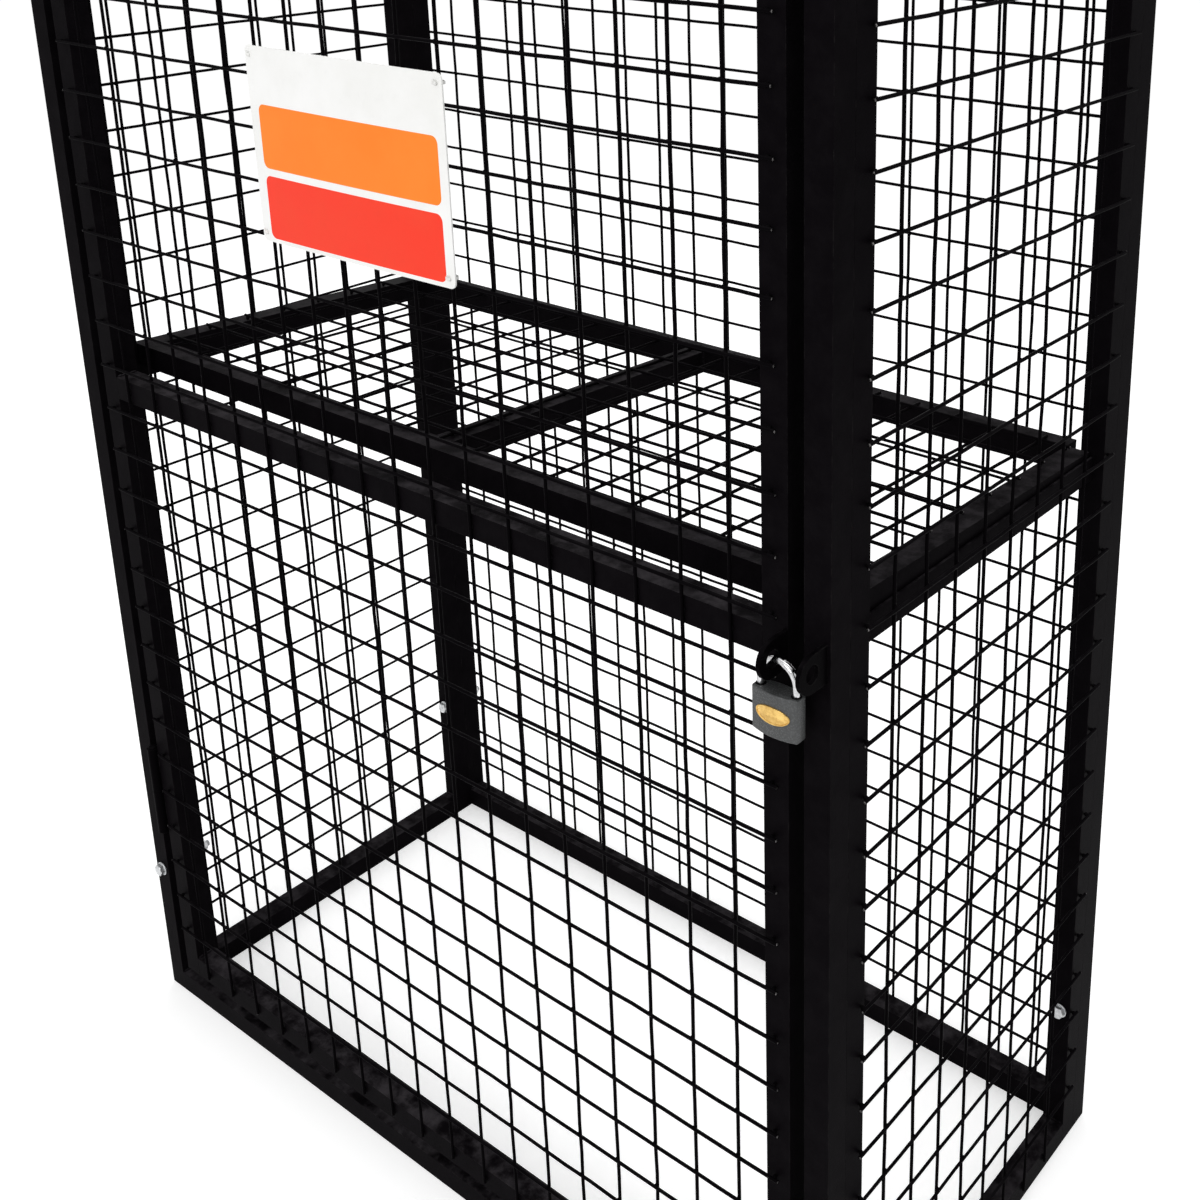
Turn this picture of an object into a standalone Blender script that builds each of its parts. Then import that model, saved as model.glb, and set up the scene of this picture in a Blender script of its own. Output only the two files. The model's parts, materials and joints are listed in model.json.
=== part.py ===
"""Gas cylinder cage: bolted panels of steel mesh, a mid shelf and one hinged door.

Metres, +Z up. The origin is on the floor under the middle. The door faces -Y, with its hinges at -X.
"""

import math

import bmesh
import bpy
from mathutils import Matrix, Vector

# Driving dimensions
WIDTH = 1.030
DEPTH = 0.500
HEIGHT = 1.645
BAR = 0.025  # square bar of every frame
SHEET = 0.003  # thickness of the flat bars under the shelf
GAP = 0.0003  # left between pieces that touch

WIRE = 0.003
WELD_SHIFT = 0.0006  # moves an edge wire towards the other layer, so that it joins what it crosses
LAP = 0.010  # mesh ends beyond the edge of an opening

# First wire, spacing and number of wires of each mesh. The spacing is a nominal 50 mm.
DOOR_COLUMNS = (-0.4250, 0.0497, 18)
DOOR_LOWER_ROWS = (0.1079, 0.0493, 15)
DOOR_UPPER_ROWS = (0.8488, 0.0504, 15)
SIDE_COLUMNS = (-0.1680, 0.0460, 8)
SIDE_ROWS = (0.0734, 0.0508, 31)
REAR_COLUMNS = (-0.4480, 0.0500, 19)
REAR_LOWER_ROWS = (0.0570, 0.0498, 16)
REAR_UPPER_ROWS = (0.8538, 0.0498, 16)
ROOF_COLUMNS = (-0.4500, 0.0500, 19)
ROOF_ROWS = (-0.2000, 0.0500, 9)
SHELF_COLUMNS = (-0.4500, 0.0500, 19)
SHELF_ROWS = (-0.1640, 0.0500, 8)

DOOR_SIDE_GAP = 0.015
DOOR_END_GAP = 0.016
DOOR_LAP = 0.016

SHELF_TOP = 0.8434
SHELF_MIDDLE = 0.011  # position of the shelf's middle from front to back
SHELF_HALF = (0.5000, 0.2095)
SHELF_FALL = 0.038  # slope down towards the back
SUPPORT_Z = (0.796, 0.821)

HINGE_RADIUS = 0.0063
HINGE_AHEAD = 0.002  # pin's centre in front of the frame's face
HINGE_HALF = 0.058
HINGE_HEIGHTS = {"lower": 0.298, "upper": 1.347}

LUG_THICK = 0.004
LUG_REACH = 0.019
LUG_ROUND = 0.016
LUG_HOLE = 0.0078
LUG_Z = 0.823

PADLOCK_X = 0.481
PADLOCK_SIZE = (0.044, 0.018, 0.038)
PADLOCK_TOP = 0.806
SHACKLE_RADIUS = 0.0035
SHACKLE_BEND = 0.015
SHACKLE_BEND_Z = 0.8115

SIGN_SIZE = (0.265, 0.0015, 0.182)
SIGN_Z = 1.137

# Faces that several pieces meet
LEFT = -WIDTH / 2
RIGHT = WIDTH / 2
FRONT = -DEPTH / 2
REAR = DEPTH / 2
DOOR_LEFT = LEFT + BAR + DOOR_SIDE_GAP
DOOR_RIGHT = -DOOR_LEFT
DOOR_LOW = BAR + DOOR_END_GAP
DOOR_HIGH = HEIGHT - DOOR_LOW
MIDDLE = HEIGHT / 2
MESH_FACE = FRONT - GAP - 2 * WIRE - GAP

PAINTS = {
    "frame_paint": ((0.020, 0.020, 0.022), 0.42, 0.0),
    "panel_paint": ((0.022, 0.022, 0.024), 0.45, 0.0),
    "mesh_paint": ((0.018, 0.018, 0.020), 0.45, 0.0),
    "lug_paint": ((0.016, 0.016, 0.018), 0.50, 0.0),
    "lock_body": ((0.095, 0.100, 0.110), 0.45, 0.6),
    "lock_chrome": ((0.780, 0.780, 0.790), 0.12, 1.0),
    "lock_brass": ((0.620, 0.420, 0.130), 0.30, 1.0),
    "sign_white": ((0.800, 0.800, 0.780), 0.45, 0.0),
}

parts = None
cutters = None


def clear_scene():
    """Removes whatever the file opened with and makes the two collections."""
    global parts, cutters
    for obj in list(bpy.data.objects):
        bpy.data.objects.remove(obj, do_unlink=True)
    parts = bpy.data.collections.new("gas_cylinder_cage")
    cutters = bpy.data.collections.new("cutters")
    for collection in (parts, cutters):
        bpy.context.scene.collection.children.link(collection)
    cutters.hide_render = True


def paint_of(node, paint):
    """A material of its own for each node, from one of the finishes."""
    colour, roughness, metallic = PAINTS[paint]
    material = bpy.data.materials.new(node)
    material.use_nodes = True
    shader = material.node_tree.nodes["Principled BSDF"]
    shader.inputs["Base Color"].default_value = (*colour, 1.0)
    shader.inputs["Roughness"].default_value = roughness
    shader.inputs["Metallic"].default_value = metallic
    material.diffuse_color = (*colour, 1.0)
    return material


def object_of(name, work, paint=None):
    """Makes an object from a bmesh. Without a paint it is a helper."""
    bmesh.ops.recalc_face_normals(work, faces=work.faces)
    mesh = bpy.data.meshes.new(name)
    work.to_mesh(mesh)
    work.free()
    obj = bpy.data.objects.new(name, mesh)
    if paint is None:
        cutters.objects.link(obj)
        obj.hide_render = True
        obj.display_type = "WIRE"
    else:
        parts.objects.link(obj)
        mesh.materials.append(paint_of(name, paint))
    return obj


def add_box(work, low, high):
    """Adds a box between two corners."""
    low = Vector(low)
    high = Vector(high)
    size = high - low
    matrix = Matrix.Translation((low + high) / 2) @ Matrix.Diagonal((*size, 1.0))
    bmesh.ops.create_cube(work, size=1.0, matrix=matrix)


def box(name, low, high, paint):
    work = bmesh.new()
    add_box(work, low, high)
    return object_of(name, work, paint)


def joined(obj, other):
    """Unites a helper with an object and removes the helper."""
    union = obj.modifiers.new("union", "BOOLEAN")
    union.operation = "UNION"
    union.solver = "EXACT"
    union.object = other
    bpy.context.view_layer.update()
    graph = bpy.context.evaluated_depsgraph_get()
    mesh = bpy.data.meshes.new_from_object(obj.evaluated_get(graph))
    obj.modifiers.clear()
    old = obj.data
    obj.data = mesh
    mesh.name = obj.name
    bpy.data.meshes.remove(old)
    bpy.data.objects.remove(other, do_unlink=True)
    return obj


def extruded(outlines, thickness):
    """A bmesh of flat outlines, in local X and Y, made solid evenly about local Z. Inner ones are holes."""
    curve = bpy.data.curves.new("outline", "CURVE")
    curve.dimensions = "2D"
    curve.fill_mode = "BOTH"
    curve.extrude = thickness / 2
    for outline in outlines:
        spline = curve.splines.new("POLY")
        spline.points.add(len(outline) - 1)
        for point, (x, y) in zip(spline.points, outline):
            point.co = (x, y, 0.0, 1.0)
        spline.use_cyclic_u = True
    holder = bpy.data.objects.new("outline", curve)
    cutters.objects.link(holder)
    bpy.context.view_layer.update()
    graph = bpy.context.evaluated_depsgraph_get()
    mesh = bpy.data.meshes.new_from_object(holder.evaluated_get(graph))
    work = bmesh.new()
    work.from_mesh(mesh)
    bmesh.ops.remove_doubles(work, verts=work.verts, dist=0.00001)
    bpy.data.objects.remove(holder, do_unlink=True)
    bpy.data.meshes.remove(mesh)
    bpy.data.curves.remove(curve)
    return work


# Where local X, Y and Z of an outline go, for a bar along each world axis
TURNS = {
    "X": Matrix(((0, 0, 1, 0), (1, 0, 0, 0), (0, 1, 0, 0), (0, 0, 0, 1))),
    "Y": Matrix(((0, 1, 0, 0), (0, 0, 1, 0), (1, 0, 0, 0), (0, 0, 0, 1))),
    "Z": Matrix.Identity(4),
}


def wire_box(work, axes, u, v, n):
    """Adds one wire. axes are the world axes of u, v and n, with n's sign."""
    low = [0.0, 0.0, 0.0]
    high = [0.0, 0.0, 0.0]
    for axis, (start, end) in zip(axes[:3], (u, v, n)):
        low[axis] = min(start, end)
        high[axis] = max(start, end)
    add_box(work, low, high)


def lattice(name, axes, face, columns, column_span, rows, row_span, paint="mesh_paint"):
    """Welded wire mesh on a face.

    Columns run along v and lie on the face. Rows run along u over them. The outermost wires are moved
    towards the other layer, and so join all that they cross.
    """
    sign = axes[3]
    half = WIRE / 2
    lower = bmesh.new()
    for position in columns:
        lift = GAP + (WELD_SHIFT if position in (columns[0], columns[-1]) else 0.0)
        depth = (face + sign * lift, face + sign * (lift + WIRE))
        wire_box(lower, axes, (position - half, position + half), column_span, depth)
    upper = bmesh.new()
    for position in rows:
        lift = 2 * GAP + WIRE - (WELD_SHIFT if position in (rows[0], rows[-1]) else 0.0)
        depth = (face + sign * lift, face + sign * (lift + WIRE))
        wire_box(upper, axes, row_span, (position - half, position + half), depth)
    obj = object_of(name, lower, paint)
    return joined(obj, object_of(name + "_rows", upper))


def steps(spacing):
    """Positions of a mesh's wires."""
    first, pitch, count = spacing
    return [first + pitch * i for i in range(count)]


def front_frame():
    """Square bar round the doorway."""
    rear = FRONT + BAR
    for side, x in (("left", LEFT), ("right", RIGHT - BAR)):
        box("front_post_" + side, (x, FRONT, 0), (x + BAR, rear, HEIGHT), "frame_paint")
    inner = RIGHT - BAR - GAP
    box("front_rail_bottom", (-inner, FRONT, 0), (inner, rear, BAR), "frame_paint")
    box("front_rail_top", (-inner, FRONT, HEIGHT - BAR), (inner, rear, HEIGHT), "frame_paint")


def side_panel(side):
    """A frame of square bar with mesh on its outer face."""
    sign = -1 if side == "left" else 1
    face = sign * RIGHT
    low_x, high_x = sorted((face, face - sign * BAR))
    front = FRONT + BAR + GAP
    rear = REAR - BAR - GAP
    for place, y in (("front", front), ("rear", rear - BAR)):
        name = "side_stile_" + place + "_" + side
        box(name, (low_x, y, 0), (high_x, y + BAR, HEIGHT), "panel_paint")
    start = front + BAR + GAP
    end = rear - BAR - GAP
    for place, z in (("bottom", 0), ("top", HEIGHT - BAR)):
        name = "side_rail_" + place + "_" + side
        box(name, (low_x, start, z), (high_x, end, z + BAR), "panel_paint")
    lattice(
        "side_mesh_" + side,
        (1, 2, 0, sign),
        face,
        steps(SIDE_COLUMNS),
        (BAR / 2, HEIGHT - BAR / 2),
        steps(SIDE_ROWS),
        (front + BAR - LAP, rear - BAR + LAP),
    )


def rear_panel():
    """A frame of square bar with mesh on its outer face, in two lengths."""
    paint = "panel_paint"
    ahead = REAR - BAR
    for side, x in (("left", LEFT), ("right", RIGHT - BAR)):
        box("rear_post_" + side, (x, ahead, 0), (x + BAR, REAR, HEIGHT), paint)
    inner = RIGHT - BAR - GAP
    box("rear_rail_bottom", (-inner, ahead, 0), (inner, REAR, BAR), paint)
    box("rear_rail_top", (-inner, ahead, HEIGHT - BAR), (inner, REAR, HEIGHT), paint)
    axes = (0, 2, 1, 1)
    columns = steps(REAR_COLUMNS)
    row_span = (-inner - LAP, inner + LAP)
    span = (BAR / 2, MIDDLE - GAP)
    lattice("rear_mesh_lower", axes, REAR, columns, span, steps(REAR_LOWER_ROWS), row_span)
    span = (MIDDLE + GAP, HEIGHT - BAR / 2)
    lattice("rear_mesh_upper", axes, REAR, columns, span, steps(REAR_UPPER_ROWS), row_span)


def roof():
    """Mesh laid over the top rails."""
    reach_x = RIGHT - BAR + LAP
    reach_y = REAR - BAR + LAP
    axes = (0, 1, 2, 1)
    span = (-reach_y, reach_y)
    lattice("roof_mesh", axes, HEIGHT, steps(ROOF_COLUMNS), span, steps(ROOF_ROWS), (-reach_x, reach_x))


def shelf():
    """A frame of square bar with one more across its middle and mesh on top. It slopes down to the back."""
    paint = "panel_paint"
    reach_x, reach_y = SHELF_HALF
    front = SHELF_MIDDLE - reach_y
    rear = SHELF_MIDDLE + reach_y
    low = SHELF_TOP - BAR
    bay = REAR - 2 * (BAR + GAP) - GAP
    made = []
    for side, sign in (("left", -1), ("right", 1)):
        low_x, high_x = sorted((sign * reach_x, sign * (reach_x - BAR)))
        made.append(box("shelf_rail_" + side, (low_x, front, low), (high_x, bay - 0.001, SHELF_TOP), paint))
        beside = sign * (reach_x + GAP)
        low_x, high_x = sorted((beside, beside + sign * SHEET))
        box("shelf_support_" + side, (low_x, -bay, SUPPORT_Z[0]), (high_x, bay, SUPPORT_Z[1]), paint)
    inner = reach_x - BAR - GAP
    for place, y in (("front", front), ("rear", rear - BAR)):
        name = "shelf_rail_" + place
        made.append(box(name, (-inner, y, low), (inner, y + BAR, SHELF_TOP), paint))
    start = front + BAR + GAP
    end = rear - BAR - GAP
    made.append(box("shelf_bar", (-BAR / 2, start, low), (BAR / 2, end, SHELF_TOP), paint))
    span_x = inner + LAP
    span_y = (start - LAP, end + LAP)
    columns = steps(SHELF_COLUMNS)
    rows = steps(SHELF_ROWS)
    axes = (0, 1, 2, 1)
    made.append(lattice("shelf_mesh", axes, SHELF_TOP, columns, span_y, rows, (-span_x, span_x)))
    pivot = Vector((0, SHELF_MIDDLE, SHELF_TOP))
    slope = Matrix.Rotation(-math.atan(SHELF_FALL), 4, "X")
    for obj in made:
        obj.data.transform(Matrix.Translation(pivot) @ slope @ Matrix.Translation(-pivot))


def door():
    """Square bar with a rail across its middle, and mesh over its whole front in two lengths."""
    paint = "frame_paint"
    rear = FRONT + BAR
    for name, x in (("door_stile_hinge", DOOR_LEFT), ("door_stile_lock", DOOR_RIGHT - BAR)):
        box(name, (x, FRONT, DOOR_LOW), (x + BAR, rear, DOOR_HIGH), paint)
    inner = DOOR_RIGHT - BAR - GAP
    rails = {
        "door_rail_bottom": DOOR_LOW,
        "door_rail_mid": MIDDLE - BAR / 2,
        "door_rail_top": DOOR_HIGH - BAR,
    }
    for name, z in rails.items():
        box(name, (-inner, FRONT, z), (inner, rear, z + BAR), paint)
    axes = (0, 2, 1, -1)
    edge = DOOR_RIGHT - BAR + DOOR_LAP
    row_span = (-edge, edge)
    lap = BAR - DOOR_LAP
    columns = steps(DOOR_COLUMNS)
    span = (DOOR_LOW + lap, MIDDLE - GAP)
    lattice("door_mesh_lower", axes, FRONT, columns, span, steps(DOOR_LOWER_ROWS), row_span)
    span = (MIDDLE + GAP, DOOR_HIGH - lap)
    lattice("door_mesh_upper", axes, FRONT, columns, span, steps(DOOR_UPPER_ROWS), row_span)


def cylinder(work, radius, low, high, x, y, sides=20):
    matrix = Matrix.Translation((x, y, (low + high) / 2))
    bmesh.ops.create_cone(
        work, cap_ends=True, segments=sides, radius1=radius, radius2=radius, depth=high - low, matrix=matrix
    )


def hinge_half(name, low, high, towards):
    """A barrel in the gap beside the door, with the lug that holds it to the bar on one side."""
    x = LEFT + BAR + DOOR_SIDE_GAP / 2
    y = FRONT - HINGE_AHEAD
    barrel = bmesh.new()
    cylinder(barrel, HINGE_RADIUS, low, high, x, y)
    lug = bmesh.new()
    edge = x + towards * (DOOR_SIDE_GAP / 2 - GAP)
    inner = x + towards * 0.0015
    low_x, high_x = sorted((edge, inner))
    add_box(lug, (low_x, y + 0.002, low + 0.004), (high_x, y + 0.012, high - 0.004))
    obj = object_of(name, barrel, "lug_paint")
    return joined(obj, object_of(name + "_lug", lug))


def hinges():
    for place, joint in HINGE_HEIGHTS.items():
        hinge_half("hinge_" + place + "_frame", joint - HINGE_HALF, joint - GAP, -1)
        hinge_half("hinge_" + place + "_door", joint + GAP, joint + HINGE_HALF, 1)


def lug(name, x):
    """A round-ended plate that stands out of the front, with a hole for the shackle."""
    root = FRONT - GAP
    centre = FRONT - LUG_REACH
    outline = [(root, LUG_Z - LUG_ROUND), (root, LUG_Z + LUG_ROUND)]
    for i in range(13):
        turn = math.pi / 2 + math.pi * i / 12
        outline.append((centre + LUG_ROUND * math.cos(turn), LUG_Z + LUG_ROUND * math.sin(turn)))
    hole = []
    for i in range(16):
        turn = 2 * math.pi * i / 16
        hole.append((centre + LUG_HOLE * math.cos(turn), LUG_Z + LUG_HOLE * math.sin(turn)))
    work = extruded([outline, hole], LUG_THICK)
    matrix = TURNS["X"] @ Matrix.Translation((0, 0, x))
    bmesh.ops.transform(work, matrix=matrix, verts=work.verts)
    return object_of(name, work, "lug_paint")


def padlock():
    """A padlock that hangs by its shackle in the door's lug."""
    width, thick, high = PADLOCK_SIZE
    y = FRONT - LUG_REACH
    work = bmesh.new()
    low = (PADLOCK_X - width / 2, y - thick / 2, PADLOCK_TOP - high)
    add_box(work, low, (PADLOCK_X + width / 2, y + thick / 2, PADLOCK_TOP))
    bmesh.ops.bevel(work, geom=work.edges[:], offset=0.0025, segments=2, profile=0.5, affect="EDGES")
    object_of("padlock_body", work, "lock_body")
    shackle(y)
    badge = bmesh.new()
    matrix = Matrix.Translation((PADLOCK_X, y - thick / 2 - GAP - 0.0004, PADLOCK_TOP - 0.021))
    matrix = matrix @ Matrix.Rotation(math.pi / 2, 4, "X") @ Matrix.Diagonal((0.0155, 0.0105, 0.0008, 1.0))
    bmesh.ops.create_cone(
        badge, cap_ends=True, segments=24, radius1=1.0, radius2=0.94, depth=1.0, matrix=matrix
    )
    object_of("padlock_badge", badge, "lock_brass")


def shackle(y):
    """A round bar bent through half a turn, both ends standing on the lock's body."""
    curve = bpy.data.curves.new("shackle", "CURVE")
    curve.dimensions = "3D"
    curve.bevel_depth = SHACKLE_RADIUS
    curve.bevel_resolution = 2
    curve.use_fill_caps = True
    points = [(PADLOCK_X - SHACKLE_BEND, PADLOCK_TOP + GAP)]
    for i in range(13):
        turn = math.pi * (1 - i / 12)
        x = PADLOCK_X + SHACKLE_BEND * math.cos(turn)
        points.append((x, SHACKLE_BEND_Z + SHACKLE_BEND * math.sin(turn)))
    points.append((PADLOCK_X + SHACKLE_BEND, PADLOCK_TOP + GAP))
    spline = curve.splines.new("POLY")
    spline.points.add(len(points) - 1)
    for point, (x, z) in zip(spline.points, points):
        point.co = (x, y, z, 1.0)
    holder = bpy.data.objects.new("shackle_path", curve)
    cutters.objects.link(holder)
    bpy.context.view_layer.update()
    graph = bpy.context.evaluated_depsgraph_get()
    mesh = bpy.data.meshes.new_from_object(holder.evaluated_get(graph))
    work = bmesh.new()
    work.from_mesh(mesh)
    bmesh.ops.remove_doubles(work, verts=work.verts, dist=0.00001)
    bpy.data.objects.remove(holder, do_unlink=True)
    return object_of("padlock_shackle", work, "lock_chrome")


def lock():
    lug("lock_lug_door", DOOR_RIGHT - LUG_THICK / 2)
    lug("lock_lug_frame", RIGHT - 0.005)
    padlock()


def sign():
    """A bare plate on the front of the door's mesh."""
    width, thick, high = SIGN_SIZE
    rear = MESH_FACE - GAP
    low = (-width / 2, rear - thick, SIGN_Z - high / 2)
    box("sign_plate", low, (width / 2, rear, SIGN_Z + high / 2), "sign_white")


def settle():
    """Moves everything back a little, so that the origin is under the middle of the whole, lock included."""
    ahead = LUG_REACH + LUG_ROUND
    behind = 2 * GAP + 2 * WIRE
    back = (ahead - behind) / 2
    for obj in parts.objects:
        obj.data.transform(Matrix.Translation((0, back, 0)))
    return back


def hang(back):
    """Puts the origin of every piece of the door on the hinges' axis."""
    pin = Vector((LEFT + BAR + DOOR_SIDE_GAP / 2, FRONT - HINGE_AHEAD + back, MIDDLE))
    for obj in parts.objects:
        if obj.name.startswith(("door_", "padlock_", "sign_")) or obj.name.endswith("_door"):
            obj.data.transform(Matrix.Translation(-pin))
            obj.location = pin


clear_scene()
front_frame()
side_panel("left")
side_panel("right")
rear_panel()
roof()
shelf()
door()
hinges()
lock()
sign()
hang(settle())
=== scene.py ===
# %% [markdown]
# # Gas cylinder cage
# This notebook dresses a steel mesh cage that was modelled as plain solids. The solids give nearly every
# size, so they are loaded first and never moved. Each later step adds one finish or one set of
# small pieces.

# %% Load the solids
import json
import math
import random

import bpy
from mathutils import Matrix, Vector


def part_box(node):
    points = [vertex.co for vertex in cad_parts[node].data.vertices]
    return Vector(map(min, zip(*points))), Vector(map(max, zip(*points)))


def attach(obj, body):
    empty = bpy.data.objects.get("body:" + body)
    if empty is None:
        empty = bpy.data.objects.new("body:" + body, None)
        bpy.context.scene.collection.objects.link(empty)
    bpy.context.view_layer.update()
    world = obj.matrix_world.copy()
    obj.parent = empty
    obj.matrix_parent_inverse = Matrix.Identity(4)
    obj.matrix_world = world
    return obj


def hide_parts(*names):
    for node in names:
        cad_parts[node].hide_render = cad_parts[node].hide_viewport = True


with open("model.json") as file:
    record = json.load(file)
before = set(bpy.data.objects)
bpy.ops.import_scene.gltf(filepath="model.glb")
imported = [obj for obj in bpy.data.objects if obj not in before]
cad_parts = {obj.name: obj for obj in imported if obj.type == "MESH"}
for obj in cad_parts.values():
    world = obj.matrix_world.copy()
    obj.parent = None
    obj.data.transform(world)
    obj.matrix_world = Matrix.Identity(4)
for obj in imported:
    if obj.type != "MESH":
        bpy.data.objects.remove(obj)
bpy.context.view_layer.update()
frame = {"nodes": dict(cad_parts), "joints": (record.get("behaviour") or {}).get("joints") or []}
nodes = frame["nodes"]

# %% [markdown]
# The photograph was cut from the corner of a larger picture, so its centre of perspective isn't the middle of
# the frame. A shifted lens gives that. The camera looks down a little from the front right.

# %% Camera
PHOTO_SIZE = 1200
FOCAL_PIXELS = 1549.2
CENTRE_PIXELS = (816.9, 287.5)
CAMERA_PLACE = (1.1087, -1.0618, 1.4325)
CAMERA_TURN = (72.778, -0.132, 36.376)  # degrees

lens = bpy.data.cameras.new("view_lens")
lens.sensor_width = 36.0
lens.lens = FOCAL_PIXELS / PHOTO_SIZE * lens.sensor_width
lens.shift_x = 0.5 - CENTRE_PIXELS[0] / PHOTO_SIZE
lens.shift_y = CENTRE_PIXELS[1] / PHOTO_SIZE - 0.5
camera = bpy.data.objects.new("view", lens)
camera.location = CAMERA_PLACE
camera.rotation_euler = [math.radians(turn) for turn in CAMERA_TURN]
bpy.context.scene.collection.objects.link(camera)
bpy.context.scene.camera = camera
print("lens", round(lens.lens, 2), "mm, shift", round(lens.shift_x, 3), round(lens.shift_y, 3))

# %% [markdown]
# The room and every finish are node trees. These functions make the nodes that all of them need.

# %% Helpers for node trees


def wired(material):
    """Node tree, nodes and links of an empty material."""
    material.use_nodes = True
    tree = material.node_tree
    tree.nodes.clear()
    return tree, tree.nodes, tree.links


def fill(node, values):
    """Sets sockets of a node that nothing is linked to."""
    for label, value in values.items():
        node.inputs[label].default_value = value


def feed(tree, socket, value):
    """Links a socket to the output that feeds it, or sets it to a plain value."""
    if isinstance(value, bpy.types.NodeSocket):
        tree.links.new(value, socket)
    else:
        socket.default_value = value


def math_node(tree, operation, first, second):
    """A math node fed by two sockets or numbers."""
    node = tree.nodes.new("ShaderNodeMath")
    node.operation = operation
    feed(tree, node.inputs[0], first)
    feed(tree, node.inputs[1], second)
    return node.outputs[0]


def between(tree, mask, first, second):
    """A number that goes from first to second as mask goes from 0 to 1."""
    node = tree.nodes.new("ShaderNodeMapRange")
    fill(node, {"To Min": first, "To Max": second})
    tree.links.new(mask, node.inputs["Value"])
    return node.outputs["Result"]


# %% [markdown]
# The cage stands on a pale floor in a white room. Light Path lets the room and the floor show white to the
# camera and in reflections, while the light that falls on the cage is a little weaker. The floor adds its glow
# on top of what lights it, so it goes white in the open and still keeps the shadow.

# %% Floor and room
ROOM_LIGHT = 0.68
FLOOR_GLOW = 0.40
FLOOR_REACH = 12
FLOOR_DROP = 0.0005
FLOOR_COLOUR = (0.90, 0.90, 0.90, 1)
WHITE = (1, 1, 1, 1)
LAMPS_AIM_AT = (0, 0, 0.8)


def seen_white(tree, unseen, seen):
    """A strength that is seen for camera, glossy and transmission rays, and unseen for the rest."""
    path = tree.nodes.new("ShaderNodeLightPath")
    value = path.outputs["Is Camera Ray"]
    for ray in ("Is Glossy Ray", "Is Transmission Ray"):
        value = math_node(tree, "MAXIMUM", value, path.outputs[ray])
    return between(tree, value, unseen, seen)


world = bpy.data.worlds.new("room")
bpy.context.scene.world = world
tree, made, links = wired(world)
back = made.new("ShaderNodeBackground")
fill(back, {"Color": WHITE})
links.new(seen_white(tree, ROOM_LIGHT, 1.0), back.inputs["Strength"])
links.new(back.outputs["Background"], made.new("ShaderNodeOutputWorld").inputs["Surface"])

floor_mesh = bpy.data.meshes.new("floor")
corners = [(x * FLOOR_REACH, y * FLOOR_REACH, 0) for x, y in ((-1, -1), (1, -1), (1, 1), (-1, 1))]
floor_mesh.from_pydata(corners, [], [(0, 1, 2, 3)])
floor = bpy.data.objects.new("floor", floor_mesh)
floor.location.z = -FLOOR_DROP
bpy.context.scene.collection.objects.link(floor)
floor_paint = bpy.data.materials.new("floor_paint")
tree, made, links = wired(floor_paint)
plain = made.new("ShaderNodeBsdfDiffuse")
fill(plain, {"Color": FLOOR_COLOUR})
glow = made.new("ShaderNodeEmission")
fill(glow, {"Color": WHITE})
links.new(seen_white(tree, 0.0, FLOOR_GLOW), glow.inputs["Strength"])
both = made.new("ShaderNodeAddShader")
links.new(plain.outputs[0], both.inputs[0])
links.new(glow.outputs[0], both.inputs[1])
links.new(both.outputs[0], made.new("ShaderNodeOutputMaterial").inputs["Surface"])
floor_mesh.materials.append(floor_paint)

LAMPS = {
    "overhead": ((0.4, 0.2, 3.6), 2.6, 34.0),
    "right_front": ((1.0, -3.7, 2.5), 1.8, 50.0),
    "left_rear": ((-2.6, 2.6, 2.2), 1.6, 14.0),
}
for name, (place, width, power) in LAMPS.items():
    light = bpy.data.lights.new(name, "AREA")
    light.size = width
    light.energy = power
    lamp = bpy.data.objects.new(name, light)
    lamp.location = place
    lamp.rotation_euler = (Vector(LAMPS_AIM_AT) - lamp.location).to_track_quat("-Z", "Y").to_euler()
    bpy.context.scene.collection.objects.link(lamp)
print(len(LAMPS), "soft lamps")

# %% [markdown]
# Most of the cage has the same black powder coat. Up close that finish has a fine orange peel, wears thin on
# corners and holds dust on faces that point up. Each of these is a node group, because the bars, the mesh and
# the fittings all use them with their own values. The fine scratches on bright metal are a group too.

# %% Node groups that the finishes share


def group(name, inputs, outputs):
    """A shader node group. inputs give each socket's kind and value, outputs each socket's kind."""
    tree = bpy.data.node_groups.new(name, "ShaderNodeTree")
    for label, (kind, value) in inputs.items():
        socket = tree.interface.new_socket(label, in_out="INPUT", socket_type=kind)
        socket.default_value = value
    for label, kind in outputs.items():
        tree.interface.new_socket(label, in_out="OUTPUT", socket_type=kind)
    return tree, tree.nodes.new("NodeGroupInput"), tree.nodes.new("NodeGroupOutput")


def noise_of(tree, coordinates, scale, detail=3.0, roughness=0.55):
    """Value of a noise texture. scale is a socket or a number."""
    node = tree.nodes.new("ShaderNodeTexNoise")
    tree.links.new(coordinates, node.inputs["Vector"])
    feed(tree, node.inputs["Scale"], scale)
    fill(node, {"Detail": detail, "Roughness": roughness})
    return node.outputs["Fac"]


def ramp(tree, value, low, high):
    """Spreads the values between low and high over 0 to 1."""
    node = tree.nodes.new("ShaderNodeMapRange")
    node.interpolation_type = "SMOOTHSTEP"
    fill(node, {"From Min": low, "From Max": high})
    tree.links.new(value, node.inputs["Value"])
    return node.outputs["Result"]


FLOAT = "NodeSocketFloat"
VECTOR = "NodeSocketVector"

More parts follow.
